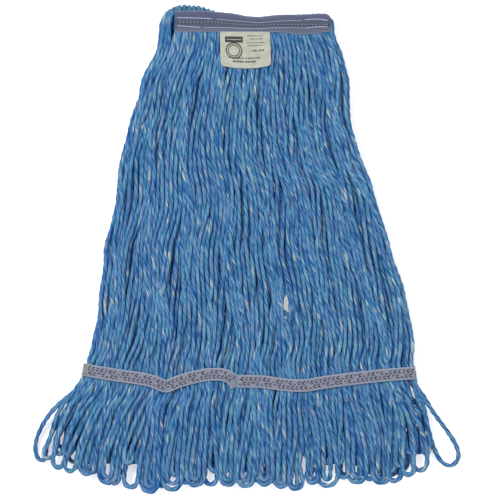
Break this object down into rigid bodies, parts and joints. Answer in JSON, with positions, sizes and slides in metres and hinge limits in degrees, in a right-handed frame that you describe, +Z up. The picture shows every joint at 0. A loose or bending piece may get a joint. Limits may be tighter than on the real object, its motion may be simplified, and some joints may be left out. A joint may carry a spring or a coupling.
{
  "type": "string mop head",
  "caption": "Looped-end wet mop head folded at its sewn headband, with a tail band above the loops, to clip over the clamp bar of a mop handle.",
  "frame": {"origin": "on the flat underside, below the middle of the headband", "axes": "+X along the headband, +Y from the loops towards the fold, +Z up from the ground"},
  "size_m": [0.4073, 0.4565, 0.025],
  "materials": {
    "yarn": "soft spun blended yarn, matt",
    "headband_tape": "woven polyester tape",
    "tail_tape": "woven tape",
    "thread": "sewing thread",
    "label_cloth": "woven label"
  },
  "bodies": {
    "back_half": {"back_fold_yarn": "yarn", "back_head_yarn": "yarn", "back_yarn_1": "yarn", "back_yarn_2": "yarn", "back_yarn_3": "yarn", "back_yarn_4": "yarn", "back_yarn_5": "yarn", "back_tail_tape_outer": "tail_tape", "back_tail_tape_inner": "tail_tape", "back_fringe_1": "yarn", "back_fringe_2": "yarn", "back_fringe_3": "yarn", "back_fringe_4": "yarn", "back_fringe_5": "yarn"},
    "front_half": {"front_fold_yarn": "yarn", "front_head_yarn": "yarn", "headband_tape": "headband_tape", "headband_inner_tape": "headband_tape", "headband_stitches": "thread", "front_yarn_1": "yarn", "front_yarn_2": "yarn", "front_yarn_3": "yarn", "front_yarn_4": "yarn", "front_yarn_5": "yarn", "front_tail_tape_outer": "tail_tape", "front_tail_tape_inner": "tail_tape", "front_tail_stitches": "thread"},
    "front_fringe": {"front_fringe_1": "yarn", "front_fringe_2": "yarn", "front_fringe_3": "yarn", "front_fringe_4": "yarn", "front_fringe_5": "yarn"},
    "label": {"label": "label_cloth"},
    "right_loop": {"right_loop": "yarn"},
    "left_loop": {"left_loop": "yarn"}
  },
  "joints": [
    {"name": "head_fold", "type": "hinge", "parent": "back_half", "child": "front_half", "pos_m": [0, 0.0097, 0.013], "axis": [-1, 0, 0], "range_deg": [0, 180]},
    {"name": "front_fringe_lift", "type": "hinge", "parent": "front_half", "child": "front_fringe", "pos_m": [0, -0.3534, 0.017], "axis": [-1, 0, 0], "range_deg": [0, 90]},
    {"name": "label_flap", "type": "hinge", "parent": "front_half", "child": "label", "pos_m": [-0.009, -0.0108, 0.0251], "axis": [-1, 0, 0], "range_deg": [0, 150]},
    {"name": "right_loop_swing", "type": "hinge", "parent": "front_fringe", "child": "right_loop", "pos_m": [0.157, -0.355, 0.0115], "axis": [0, 0, 1], "range_deg": [0, 20]},
    {"name": "left_loop_swing", "type": "hinge", "parent": "front_fringe", "child": "left_loop", "pos_m": [-0.172, -0.355, 0.0115], "axis": [0, 0, -1], "range_deg": [0, 15]}
  ]
}
